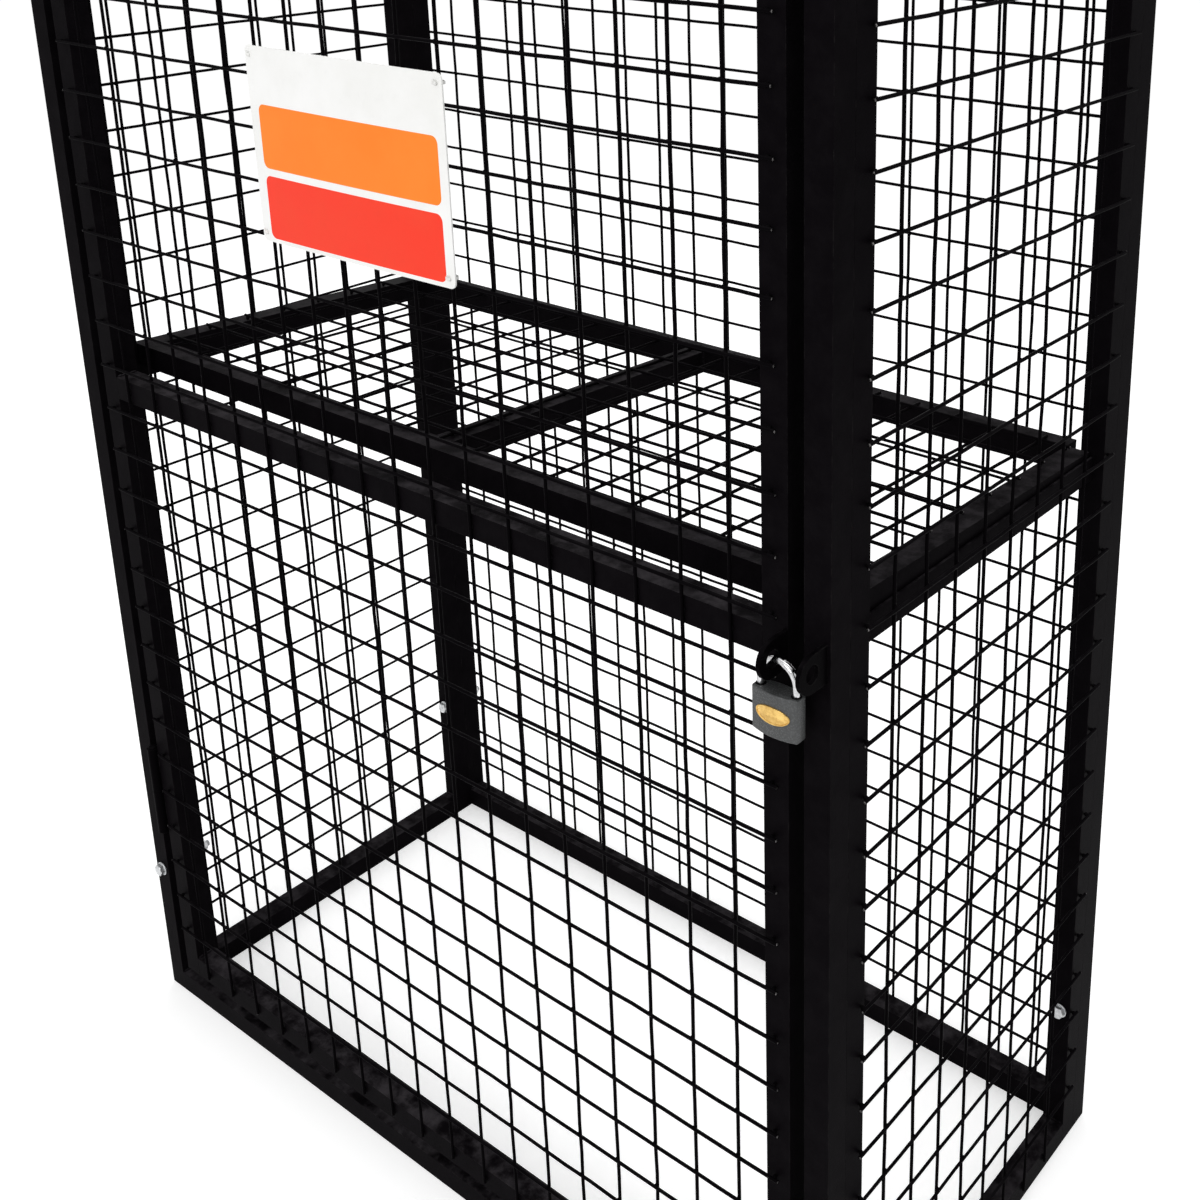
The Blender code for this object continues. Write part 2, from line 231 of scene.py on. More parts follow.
orange_peel, start, end = group(
    "orange_peel",
    {"Vector": (VECTOR, (0, 0, 0)), "Scale": (FLOAT, 600.0), "Grit": (FLOAT, 0.3)},
    {"Height": FLOAT, "Patch": FLOAT},
)
peel = noise_of(orange_peel, start.outputs["Vector"], start.outputs["Scale"], 2.0)
finer = math_node(orange_peel, "MULTIPLY", start.outputs["Scale"], 4.0)
grit = noise_of(orange_peel, start.outputs["Vector"], finer, 1.0)
grit = math_node(orange_peel, "MULTIPLY", grit, start.outputs["Grit"])
orange_peel.links.new(math_node(orange_peel, "ADD", peel, grit), end.inputs["Height"])
orange_peel.links.new(noise_of(orange_peel, start.outputs["Vector"], 9.0, 4.0), end.inputs["Patch"])

edge_wear, start, end = group(
    "edge_wear",
    {"Vector": (VECTOR, (0, 0, 0)), "Width": (FLOAT, 0.002), "Amount": (FLOAT, 0.5)},
    {"Mask": FLOAT},
)
rounded = edge_wear.nodes.new("ShaderNodeBevel")
rounded.samples = 4
edge_wear.links.new(start.outputs["Width"], rounded.inputs["Radius"])
unrounded = edge_wear.nodes.new("ShaderNodeNewGeometry")
likeness = edge_wear.nodes.new("ShaderNodeVectorMath")
likeness.operation = "DOT_PRODUCT"
edge_wear.links.new(rounded.outputs["Normal"], likeness.inputs[0])
edge_wear.links.new(unrounded.outputs["Normal"], likeness.inputs[1])
edge = math_node(edge_wear, "SUBTRACT", 1.0, likeness.outputs["Value"])
edge = ramp(edge_wear, edge, 0.02, 0.28)
broken = ramp(edge_wear, noise_of(edge_wear, start.outputs["Vector"], 60.0, 5.0, 0.7), 0.46, 0.66)
worn = math_node(edge_wear, "MULTIPLY", edge, broken)
worn = math_node(edge_wear, "MULTIPLY", worn, start.outputs["Amount"])
edge_wear.links.new(worn, end.inputs["Mask"])

settled_dust, start, end = group(
    "settled_dust",
    {"Vector": (VECTOR, (0, 0, 0)), "Amount": (FLOAT, 0.3)},
    {"Mask": FLOAT},
)
way = settled_dust.nodes.new("ShaderNodeNewGeometry")
split = settled_dust.nodes.new("ShaderNodeSeparateXYZ")
settled_dust.links.new(way.outputs["Normal"], split.inputs[0])
up = ramp(settled_dust, split.outputs["Z"], 0.15, 0.95)
up = math_node(settled_dust, "ADD", up, 0.05)
cloud = ramp(settled_dust, noise_of(settled_dust, start.outputs["Vector"], 38.0, 6.0, 0.65), 0.35, 0.72)
dusty = math_node(settled_dust, "MULTIPLY", up, cloud)
dusty = math_node(settled_dust, "MULTIPLY", dusty, start.outputs["Amount"])
settled_dust.links.new(dusty, end.inputs["Mask"])

fine_scratches, start, end = group(
    "fine_scratches",
    {"Vector": (VECTOR, (0, 0, 0)), "Scale": (FLOAT, 40.0), "Stretch": (VECTOR, (1, 1, 14))},
    {"Mask": FLOAT},
)
pulled = fine_scratches.nodes.new("ShaderNodeVectorMath")
pulled.operation = "MULTIPLY"
fine_scratches.links.new(start.outputs["Vector"], pulled.inputs[0])
fine_scratches.links.new(start.outputs["Stretch"], pulled.inputs[1])
lines = noise_of(fine_scratches, pulled.outputs[0], start.outputs["Scale"], 6.0, 0.7)
fine_scratches.links.new(ramp(fine_scratches, lines, 0.50, 0.68), end.inputs["Mask"])
print("groups:", [tree.name for tree in bpy.data.node_groups])

# %% [markdown]
# A finish is a Principled shader fed by those groups. The builder below makes the tree once, and each finish
# then links what it needs. Values that are the same all over are set on the shader's own sockets.

# %% Helpers for a finish


def start_finish(name):
    """A material with a Principled shader and object coordinates."""
    material = bpy.data.materials.new(name)
    tree, made, links = wired(material)
    shader = made.new("ShaderNodeBsdfPrincipled")
    links.new(shader.outputs["BSDF"], made.new("ShaderNodeOutputMaterial").inputs["Surface"])
    place = made.new("ShaderNodeTexCoord").outputs["Object"]
    return material, tree, shader, place


def use(tree, shared, place, **values):
    """Places a shared group in a material with its own values."""
    node = tree.nodes.new("ShaderNodeGroup")
    node.node_tree = shared
    tree.links.new(place, node.inputs["Vector"])
    fill(node, values)
    return node


def mixed(tree, mask, first, second):
    """A colour that goes from first to second as mask goes from 0 to 1."""
    node = tree.nodes.new("ShaderNodeMix")
    node.data_type = "RGBA"
    tree.links.new(mask, node.inputs["Factor"])
    for index, value in ((6, first), (7, second)):
        feed(tree, node.inputs[index], (*value, 1.0) if isinstance(value, tuple) else value)
    return node.outputs[2]


def bumped(tree, shader, height, depth, strength=0.6):
    """Feeds a height to the shader's normal. depth is in metres."""
    node = tree.nodes.new("ShaderNodeBump")
    fill(node, {"Strength": strength, "Distance": depth})
    tree.links.new(height, node.inputs["Height"])
    tree.links.new(node.outputs["Normal"], shader.inputs["Normal"])


# %% [markdown]
# The powder coat comes in four tones: the front frame and door, the panels behind them, the wire and the
# welded fittings. Wire is smoother than bar, and the fittings are handled most, so they wear most.

# %% Black powder coat
WORN_COLOUR = (0.034, 0.032, 0.031)
DUST_COLOUR = (0.064, 0.058, 0.064)
PAINT_IOR = 1.04
PEEL_DEPTH = 0.00018


def powder_coat(name, colour, rough, peel_scale, wear, dust):
    """Satin black powder coat. wear and dust are amounts from 0 to 1."""
    material, tree, shader, place = start_finish(name)
    peel = use(tree, orange_peel, place, Scale=peel_scale, Grit=0.35)
    worn = use(tree, edge_wear, place, Width=0.0016, Amount=wear)
    dusty = use(tree, settled_dust, place, Amount=dust)
    deeper = tuple(0.72 * part for part in colour)
    paint = mixed(tree, peel.outputs["Patch"], deeper, colour)
    paint = mixed(tree, worn.outputs["Mask"], paint, WORN_COLOUR)
    paint = mixed(tree, dusty.outputs["Mask"], paint, DUST_COLOUR)
    tree.links.new(paint, shader.inputs["Base Color"])
    gloss = between(tree, peel.outputs["Patch"], rough - 0.05, rough + 0.07)
    gloss = math_node(tree, "ADD", gloss, math_node(tree, "MULTIPLY", dusty.outputs["Mask"], 0.35))
    tree.links.new(gloss, shader.inputs["Roughness"])
    fill(shader, {"IOR": PAINT_IOR})
    bumped(tree, shader, peel.outputs["Height"], PEEL_DEPTH)
    return material


finishes = {
    "frame_paint": powder_coat("frame_paint", (0.0034, 0.0027, 0.0035), 0.40, 520.0, 0.35, 0.55),
    "panel_paint": powder_coat("panel_paint", (0.0034, 0.0027, 0.0035), 0.42, 560.0, 0.35, 0.40),
    "mesh_paint": powder_coat("mesh_paint", (0.0027, 0.0022, 0.0028), 0.38, 900.0, 0.0, 0.06),
    "lug_paint": powder_coat("lug_paint", (0.0020, 0.0016, 0.0021), 0.36, 700.0, 0.45, 0.08),
}
print("powder coats:", list(finishes))

# %% [markdown]
# The small bright things are metal. Zinc plating has a dull mottle, chrome is smooth with hairline scratches,
# and brass is warm and a little brown in patches. The lock's body has a hammered lacquer, whose round dimples
# come from the cells of a Voronoi texture.

# %% Metals and lacquer


def bare_metal(name, light, dark, rough, scale):
    """A metal whose colour and polish vary in patches, with fine scratches."""
    material, tree, shader, place = start_finish(name)
    patch = ramp(tree, noise_of(tree, place, scale, 4.0, 0.6), 0.3, 0.7)
    lines = use(tree, fine_scratches, place, Scale=90.0)
    tree.links.new(mixed(tree, patch, light, dark), shader.inputs["Base Color"])
    polish = between(tree, patch, rough, rough + 0.10)
    polish = math_node(tree, "ADD", polish, math_node(tree, "MULTIPLY", lines.outputs["Mask"], 0.12))
    tree.links.new(polish, shader.inputs["Roughness"])
    fill(shader, {"Metallic": 1.0})
    bumped(tree, shader, lines.outputs["Mask"], 0.00002, 0.4)
    return material


def hammered_lacquer(name, colour):
    """Grey lacquer with a metal flake, dimpled all over."""
    material, tree, shader, place = start_finish(name)
    cells = tree.nodes.new("ShaderNodeTexVoronoi")
    cells.feature = "SMOOTH_F1"
    fill(cells, {"Scale": 620.0, "Smoothness": 0.45})
    tree.links.new(place, cells.inputs["Vector"])
    dimple = ramp(tree, cells.outputs["Distance"], 0.05, 0.65)
    # The light grey along the body's edges is partly worn lacquer and partly a painted highlight on those edges.
    worn = use(tree, edge_wear, place, Width=0.0010, Amount=0.45)
    light = tuple(1.45 * part for part in colour)
    lacquer = mixed(tree, dimple, light, colour)
    lacquer = mixed(tree, worn.outputs["Mask"], lacquer, (0.42, 0.41, 0.40))
    tree.links.new(lacquer, shader.inputs["Base Color"])
    tree.links.new(between(tree, dimple, 0.30, 0.48), shader.inputs["Roughness"])
    fill(shader, {"Metallic": 0.45})
    bumped(tree, shader, dimple, 0.0003, 0.7)
    return material


finishes["zinc"] = bare_metal("zinc", (0.70, 0.71, 0.72), (0.48, 0.49, 0.50), 0.34, 260.0)
finishes["cut_wire"] = bare_metal("cut_wire", (0.19, 0.18, 0.18), (0.05, 0.05, 0.05), 0.38, 900.0)
finishes["lock_chrome"] = bare_metal("lock_chrome", (0.62, 0.62, 0.63), (0.42, 0.42, 0.43), 0.07, 420.0)
finishes["lock_brass"] = bare_metal("lock_brass", (0.78, 0.53, 0.18), (0.55, 0.34, 0.10), 0.22, 180.0)
finishes["lock_body"] = hammered_lacquer("lock_body", (0.052, 0.054, 0.055))
print(len(finishes), "finishes so far")

# %% [markdown]
# The sign is a sheet of white plastic with two plain coloured bands, and it hangs by white nylon ties. Print
# fades unevenly outdoors and plastic picks up faint grime, so both follow a slow noise.

# %% Plastics


def weathered_plastic(name, colour, faded, rough, shine=0.4):
    """A plastic or print that has faded in patches."""
    material, tree, shader, place = start_finish(name)
    patch = ramp(tree, noise_of(tree, place, 14.0, 5.0, 0.6), 0.30, 0.75)
    grime = ramp(tree, noise_of(tree, place, 120.0, 3.0, 0.6), 0.52, 0.80)
    grime = math_node(tree, "MULTIPLY", grime, 0.05)
    paint = mixed(tree, patch, colour, faded)
    paint = mixed(tree, grime, paint, tuple(0.55 * part for part in colour))
    tree.links.new(paint, shader.inputs["Base Color"])
    tree.links.new(between(tree, patch, rough, rough + 0.12), shader.inputs["Roughness"])
    fill(shader, {"Specular IOR Level": shine})
    bumped(tree, shader, noise_of(tree, place, 260.0, 2.0), 0.00005, 0.3)
    return material


finishes["sign_white"] = weathered_plastic("sign_white", (0.90, 0.90, 0.89), (0.84, 0.84, 0.82), 0.34)
finishes["band_orange"] = weathered_plastic("band_orange", (0.96, 0.225, 0.020), (0.94, 0.25, 0.030), 0.36, 0.12)
finishes["band_red"] = weathered_plastic("band_red", (0.92, 0.045, 0.020), (0.90, 0.058, 0.026), 0.36, 0.12)
finishes["tie_nylon"] = weathered_plastic("tie_nylon", (0.82, 0.82, 0.80), (0.74, 0.74, 0.72), 0.36)
print(len(finishes), "finishes")

# %% [markdown]
# The bars keep their CAD solids. Real bar has a small radius on every edge, which catches a thin line of
# light, so each solid gets a Bevel modifier and its finish. Modifiers leave the CAD mesh as it was.

# %% Dress the solids
EDGE = 0.0018
FRONT_BARS = ("door_rail", "door_stile", "front_")
PANEL_BARS = ("side_stile", "side_rail", "rear_post", "rear_rail", "shelf_rail", "shelf_bar")
ROUNDED = {bars: ("frame_paint", EDGE) for bars in FRONT_BARS}
ROUNDED |= {bars: ("panel_paint", EDGE) for bars in PANEL_BARS}
ROUNDED |= {"hinge_": ("lug_paint", 0.0006), "lock_lug": ("lug_paint", 0.0008)}


def dress(obj, finish):
    """Gives an object one finish."""
    obj.data.materials.clear()
    obj.data.materials.append(finishes[finish])


for name, node in nodes.items():
    for start_of_name, (finish, radius) in ROUNDED.items():
        if name.startswith(start_of_name) and "mesh" not in name:
            dress(node, finish)
            bevel = node.modifiers.new("edges", "BEVEL")
            bevel.width = radius
            bevel.segments = 2
            bevel.limit_method = "ANGLE"
            bevel.angle_limit = math.radians(40)
            bevel.harden_normals = True
            break
print("rounded:", sum(1 for node in nodes.values() if node.modifiers))

# %% [markdown]
# The mesh is made of round wires, laid across each other and spot welded at every crossing. A wire is swept as
# a tube whose points stray by a fraction of a millimetre, as drawn wire does. Each weld is a small flattened
# bead that fills the corner between the two wires.

# %% Helpers for swept pieces
chance = random.Random(7)
WIRE_RADIUS = 0.00165
BEAD_PITCH = 0.0019


def piece(name, points, faces, finish, body, sharp=60):
    """Makes an object from points and faces, and hangs it on a body. Edges over sharp degrees stay sharp."""
    mesh = bpy.data.meshes.new(name)
    mesh.from_pydata([tuple(point) for point in points], [], faces)
    mesh.validate()
    mesh.shade_smooth()
    mesh.set_sharp_from_angle(angle=math.radians(sharp))
    obj = bpy.data.objects.new(name, mesh)
    bpy.context.scene.collection.objects.link(obj)
    dress(obj, finish)
    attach(obj, body)
    return obj


def ring_faces(low, sides):
    """Faces between the ring of points that starts at low and the ring after it."""
    faces = []
    for step in range(sides):
        after = (step + 1) % sides
        faces.append((low + step, low + after, low + sides + after, low + sides + step))
    return faces


class Shape:
    """Collects points and faces of many small solids for one piece."""

    def __init__(self):
        self.points = []
        self.faces = []

    def add(self, points, faces):
        first = len(self.points)
        self.points.extend(points)
        self.faces.extend(tuple(first + corner for corner in face) for face in faces)

    def tube(self, line, radius, sides=8, across=None):
        """A closed tube along a line of points. across keeps the rings from twisting."""
        line = [Vector(point) for point in line]
        rings = []
        for index, point in enumerate(line):
            ahead = line[min(index + 1, len(line) - 1)] - line[max(index - 1, 0)]
            ahead.normalize()
            if across:
                side = Vector(across)
            else:
                side = Vector((0, 0, 1)) if abs(ahead.z) < 0.9 else Vector((1, 0, 0))
            side = (side - ahead * side.dot(ahead)).normalized()
            other = ahead.cross(side)
            ring = []
            for step in range(sides):
                turn = 2 * math.pi * step / sides
                ring.append(point + radius * (math.cos(turn) * side + math.sin(turn) * other))
            rings.append(ring)
        points = [point for ring in rings for point in ring]
        faces = []
        for index in range(len(rings) - 1):
            faces += ring_faces(index * sides, sides)
        faces.append(tuple(reversed(range(sides))))
        faces.append(tuple(range(len(points) - sides, len(points))))
        self.add(points, faces)

    def stack(self, rings):
        """A closed solid from rings of points, each with the same count. Its faces are turned to look out."""
        sides = len(rings[0])
        points = [Vector(point) for ring in rings for point in ring]
        faces = [tuple(range(sides))[::-1], tuple(range(len(points) - sides, len(points)))]
        for low in range(0, len(points) - sides, sides):
            faces += ring_faces(low, sides)
        middle = sum(points, Vector()) / len(points)
        volume = 0.0
        for face in faces:
            first, second, third = (points[corner] - middle for corner in face[:3])
            volume += first.dot(second.cross(third))
        self.add(points, faces if volume > 0 else [face[::-1] for face in faces])

    def weld(self, start, end, size):
        """A run of overlapping beads, each a little different in size."""
        start = Vector(start)
        end = Vector(end)
        count = max(1, round((end - start).length / BEAD_PITCH))
        for index in range(count + 1):
            swell = chance.uniform(0.85, 1.15)
            self.bead(start.lerp(end, index / count), [swell * part for part in size], 6, 3)

    def bead(self, centre, sizes, sides=7, rings=4):
        """A squashed ball."""
        centre = Vector(centre)
        points = [centre - Vector((0, 0, sizes[2]))]
        for ring in range(1, rings):
            tilt = math.pi * ring / rings
            for step in range(sides):
                turn = 2 * math.pi * step / sides
                x = math.sin(tilt) * math.cos(turn) * sizes[0]
                y = math.sin(tilt) * math.sin(turn) * sizes[1]
                points.append(centre + Vector((x, y, -math.cos(tilt) * sizes[2])))
        points.append(centre + Vector((0, 0, sizes[2])))
        faces = [(0, 1 + (step + 1) % sides, 1 + step) for step in range(sides)]
        for ring in range(rings - 2):
            faces += ring_faces(1 + ring * sides, sides)
        low = 1 + (rings - 2) * sides
        last = len(points) - 1
        faces.extend((low + step, low + (step + 1) % sides, last) for step in range(sides))
        self.add(points, faces)

    def make(self, name, finish, body, slot=None, sharp=60):
        return piece(name, self.points, self.faces, finish, body, sharp)


# %% [markdown]
# One function lays a whole panel. It takes the world axes that the panel's wires run along, so the door, the
# sides, the rear, the roof and the shelf can share it. Wire ends are sheared by a machine, so no two stand out
# quite the same, and their cut faces are bare steel. A small nugget seats each wire on the bar that carries it.

# %% Wire mesh
STRAY = 0.00035
UNEVEN = 0.0012
POINT_PITCH = 0.05 / 1.5
LIFT = 0.0003  # from the bar to the wires next to it
SINK = 0.0005  # how far the outer wires sink into these
TIP_WIDE, TIP_LONG = 0.0014, 0.0005
INNER_SEAT = (0.0028, 0.0030, 0.0010)
INNER_SEAT_LIFT = 0.0006
OUTER_SEAT = (0.0024, 0.0022, 0.0026)
NUGGET = (0.0020, 0.0026)  # range
NUGGET_DEEP = 0.0017


def steps(first, pitch, count):
    return [first + pitch * index for index in range(count)]


def wire_line(start, end):
    """Points along a wire, each a little off the straight line."""
    start = Vector(start)
    end = Vector(end)
    count = max(2, round((end - start).length / POINT_PITCH))
    line = []
    for index in range(count + 1):
        point = start.lerp(end, index / count)
        line.append(point + Vector([chance.uniform(-STRAY, STRAY) for _ in range(3)]))
    return line


def welded_mesh(name, replaced, body, axes, face, columns, column_span, rows, row_span, seats, turn=None):
    """Wires on a face. axes are the world axes of u, v and n, with n's sign.

    Columns run along v next to the face, and rows along u outside them. seats are the places along u and v
    where the wires are welded to a bar.
    """
    u, v, n, sign = axes
    shape = Shape()
    inner = face + sign * (LIFT + WIRE_RADIUS)
    outer = inner + sign * (2 * WIRE_RADIUS - SINK)

    def at(along_u, along_v, depth):
        place = [0.0, 0.0, 0.0]
        place[u], place[v], place[n] = along_u, along_v, depth
        return place

    def sized(along_u, along_v, depth):
        size = [0.0, 0.0, 0.0]
        size[u], size[v], size[n] = along_u, along_v, depth
        return size

    tips = []
    for x in columns:
        low, high = (end + chance.uniform(-UNEVEN, UNEVEN) for end in column_span)
        shape.tube(wire_line(at(x, low, inner), at(x, high, inner)), WIRE_RADIUS)
        tips += [(at(x, end, inner), sized(TIP_WIDE, TIP_LONG, TIP_WIDE)) for end in (low, high)]
        for seat in seats[1]:
            shape.bead(at(x, seat, face + sign * INNER_SEAT_LIFT), sized(*INNER_SEAT))
    for z in rows:
        low, high = (end + chance.uniform(-UNEVEN, UNEVEN) for end in row_span)
        shape.tube(wire_line(at(low, z, outer), at(high, z, outer)), WIRE_RADIUS)
        tips += [(at(end, z, outer), sized(TIP_LONG, TIP_WIDE, TIP_WIDE)) for end in (low, high)]
        for seat in seats[0]:
            shape.bead(at(seat, z, (face + outer) / 2), sized(*OUTER_SEAT))
    for x in columns:
        for z in rows:
            size = sized(chance.uniform(*NUGGET), chance.uniform(*NUGGET), NUGGET_DEEP)
            shape.bead(at(x, z, (inner + outer) / 2), size)
    made = shape.make(name, "mesh_paint", body, "mesh_paint")
    ends = Shape()
    for place, size in tips:
        ends.bead(place, size)
    ends = ends.make(name.replace("wires", "wire_ends"), "cut_wire", body, "mesh_paint")
    for obj in (made, ends):
        if turn is not None:
            obj.data.transform(turn)
    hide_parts(*replaced)
    print(name, len(columns), "x", len(rows), "wires,", len(columns) * len(rows), "welds")


# %% [markdown]
# The door's mesh lies on the front of its frame, and its wire ends lap over the bars that carry them. The
# side, rear and roof panels have theirs outside too. Positions repeat those of the solids that they replace.

# %% Mesh panels
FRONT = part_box("front_post_left")[0].y
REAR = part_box("rear_post_left")[1].y
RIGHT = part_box("front_post_right")[1].x
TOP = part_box("front_post_right")[1].z
SHIFT = (FRONT + REAR) / 2
BAR = 0.025
LAP = 0.010
SEAT_IN = 0.005  # from the end of a wire to its seat

# First place, pitch and count of the wires.
DOOR_COLUMNS = (-0.4250, 0.0497, 18)
DOOR_ROWS = ((0.1079, 0.0493, 15), (0.8488, 0.0504, 15))
SIDE_COLUMNS = (-0.1680 + SHIFT, 0.0460, 8)
SIDE_ROWS = (0.0734, 0.0508, 31)
REAR_COLUMNS = (-0.4480, 0.0500, 19)
REAR_ROWS = ((0.0570, 0.0498, 16), (0.8538, 0.0498, 16))
ROOF_COLUMNS = (-0.4500, 0.0500, 19)
ROOF_ROWS = (-0.2000 + SHIFT, 0.0500, 9)
DOOR_EDGE = 0.460
DOOR_RAIL = 0.0535

door_columns = steps(*DOOR_COLUMNS)
door_rows = steps(*DOOR_ROWS[0]) + steps(*DOOR_ROWS[1])
door_seats = ((-DOOR_EDGE, DOOR_EDGE), (DOOR_RAIL, TOP / 2, TOP - DOOR_RAIL))
low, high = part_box("door_mesh_lower")
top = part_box("door_mesh_upper")[1].z
welded_mesh(
    "door_wires", ["door_mesh_lower", "door_mesh_upper"], "door", (0, 2, 1, -1), FRONT,
    door_columns, (low.z, top), door_rows, (low.x, high.x), door_seats,
)
for side, sign in (("left", -1), ("right", 1)):
    low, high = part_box("side_mesh_" + side)
    welded_mesh(
        "side_wires_" + side, ["side_mesh_" + side], "cage", (1, 2, 0, sign), sign * RIGHT,
        steps(*SIDE_COLUMNS), (low.z, high.z), steps(*SIDE_ROWS), (low.y, high.y),
        ((low.y + SEAT_IN, high.y - SEAT_IN), (low.z + SEAT_IN, high.z - SEAT_IN)),
    )
low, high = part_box("rear_mesh_lower")
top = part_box("rear_mesh_upper")[1].z
welded_mesh(
    "rear_wires", ["rear_mesh_lower", "rear_mesh_upper"], "cage", (0, 2, 1, 1), REAR,
    steps(*REAR_COLUMNS), (low.z, top), steps(*REAR_ROWS[0]) + steps(*REAR_ROWS[1]), (low.x, high.x),
    ((low.x + SEAT_IN, high.x - SEAT_IN), (low.z + SEAT_IN, top - SEAT_IN)),
)
low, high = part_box("roof_mesh")
welded_mesh(
    "roof_wires", ["roof_mesh"], "cage", (0, 1, 2, 1), TOP,
    steps(*ROOF_COLUMNS), (low.y, high.y), steps(*ROOF_ROWS), (low.x, high.x),
    ((low.x + SEAT_IN, high.x - SEAT_IN), (low.y + SEAT_IN, high.y - SEAT_IN)),
)

# %% [markdown]
# The shelf is a tray of mesh that slopes down to the back, so its wires are laid level and then turned with
# the frame that carries them.

# %% Shelf mesh
SHELF_TOP = 0.8434
SHELF_MIDDLE = 0.011 + SHIFT
SHELF_FALL = 0.038
SHELF_HALF_X = 0.5
SHELF_HALF_Y = 0.2095
SHELF_GAP = 0.0003
SHELF_COLUMNS = (-0.4500, 0.0500, 19)
SHELF_ROWS = (-0.1640 + SHIFT, 0.0500, 8)

half = SHELF_HALF_Y - BAR - SHELF_GAP + LAP
pivot = Matrix.Translation((0, SHELF_MIDDLE, SHELF_TOP))
slope = pivot @ Matrix.Rotation(-math.atan(SHELF_FALL), 4, "X") @ pivot.inverted()
reach = SHELF_HALF_X - BAR - SHELF_GAP + LAP
welded_mesh(
    "shelf_wires", ["shelf_mesh"], "cage", (0, 1, 2, 1), SHELF_TOP,
    steps(*SHELF_COLUMNS), (SHELF_MIDDLE - half, SHELF_MIDDLE + half), steps(*SHELF_ROWS), (-reach, reach),
    ((SEAT_IN - reach, 0, reach - SEAT_IN), (SHELF_MIDDLE - half + SEAT_IN, SHELF_MIDDLE + half - SEAT_IN)),
    slope,
)

# %% [markdown]
# The square bars are butted and welded. The welds are ground flat on the outside and left as they are in the
# inner corners, where each shows as a short run of overlapping beads under the paint. The beads are small
# squashed balls, each a little different in size, because welds made by hand aren't even.

# %% Welds in the corners of the frames
BEAD = (0.0021, 0.0021, 0.0021)
FLAT_BEAD = (0.0018, 0.0008, 0.0018)
WELD_IN = 0.003  # from the bar's edge to the end of a weld


def corner_welds(shape, places, along, span, size):
    """Runs of beads along one axis, at places given in the two other axes."""
    for place in places:
        ends = []
        for value in span:
            point = list(place)
            point.insert(along, value)
            ends.append(point)
        shape.weld(*ends, size)


door_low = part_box("door_rail_bottom")
door_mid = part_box("door_rail_mid")
door_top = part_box("door_rail_top")
inner = door_low[1].x
depth = (FRONT + WELD_IN, FRONT + BAR - WELD_IN)
welds = Shape()
heights = (door_low[1].z, door_mid[0].z, door_mid[1].z, door_top[0].z)
corner_welds(welds, [(sign * inner, z) for sign in (-1, 1) for z in heights], 1, depth, BEAD)
for z in (door_low[0].z, door_mid[0].z, door_top[0].z):
    places = [(sign * inner, FRONT + BAR) for sign in (-1, 1)]
    corner_welds(welds, places, 2, (z + WELD_IN, z + BAR - WELD_IN), FLAT_BEAD)
welds.make("door_welds", "frame_paint", "door", "frame_paint")

frame_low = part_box("front_rail_bottom")
inner = frame_low[1].x
welds = Shape()
places = [(sign * inner, z) for sign in (-1, 1) for z in (BAR, TOP - BAR)]
corner_welds(welds, places, 1, depth, BEAD)
corner_welds(welds, places, 1, (REAR - BAR + WELD_IN, REAR - WELD_IN), BEAD)
for side, sign in (("left", -1), ("right", 1)):
    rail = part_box("side_rail_bottom_" + side)
    places = [(y, z) for y in (rail[0].y, rail[1].y) for z in (BAR, TOP - BAR)]
    corner_welds(welds, places, 0, (rail[0].x + WELD_IN, rail[1].x - WELD_IN), BEAD)
welds.make("frame_welds", "panel_paint", "cage", "panel_paint")
print("welds on door and frames")

# %% [markdown]
# The shelf's frame is welded in the same way. A flat bar beside each of its ends carries it. The bar is rolled,
# so its edges are round: its outline is drawn once, across the bar, and stacked along Y. It sits a little
# higher than its solid, where the shelf's frame touches it, and three short welds join the two.

# %% Shelf supports
LEDGE_LOW, LEDGE_HIGH = 0.8065, 0.8315
LEDGE_ROUND = 0.0009
TACKS = (0.08, 0.5, 0.92)  # shares of the bar's length
TACK_HALF = 0.009
TACK_SUNK = 0.001
TACK_X = 0.5001
TACK_BEAD = (0.0016, 0.0020, 0.0016)


def ledge_outline(low_x, high_x, y):
    """The bar's section, with a quarter circle at each corner."""
    middle_x, middle_z = (low_x + high_x) / 2, (LEDGE_LOW + LEDGE_HIGH) / 2
    wide, tall = (high_x - low_x) / 2 - LEDGE_ROUND, (LEDGE_HIGH - LEDGE_LOW) / 2 - LEDGE_ROUND
    ring = []
    for corner, (across, up) in enumerate(((1, 1), (-1, 1), (-1, -1), (1, -1))):
        for step in range(4):
            turn = math.pi / 2 * (corner + step / 3)
            x = middle_x + across * wide + LEDGE_ROUND * math.cos(turn)
            ring.append((x, y, middle_z + up * tall + LEDGE_ROUND * math.sin(turn)))
    return ring


for side, sign in (("left", -1), ("right", 1)):
    low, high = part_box("shelf_support_" + side)
    ledge = Shape()
    ledge.stack([ledge_outline(low.x, high.x, y) for y in (low.y, high.y)])
    for share in TACKS:
        y = low.y + share * (high.y - low.y)
        top = SHELF_TOP - SHELF_FALL * (y - SHELF_MIDDLE) - BAR + TACK_SUNK
        ledge.weld((sign * TACK_X, y - TACK_HALF, top), (sign * TACK_X, y + TACK_HALF, top), TACK_BEAD)
    made = ledge.make("shelf_ledge_" + side, "panel_paint", "cage", "panel_paint", 50)
    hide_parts("shelf_support_" + side)
print("supports", round(1000 * (LEDGE_HIGH - LEDGE_LOW)), "mm high")

# %% [markdown]
# The shelf's own bars are welded too. The beads are laid level, as its wires were, and turned by the same slope.

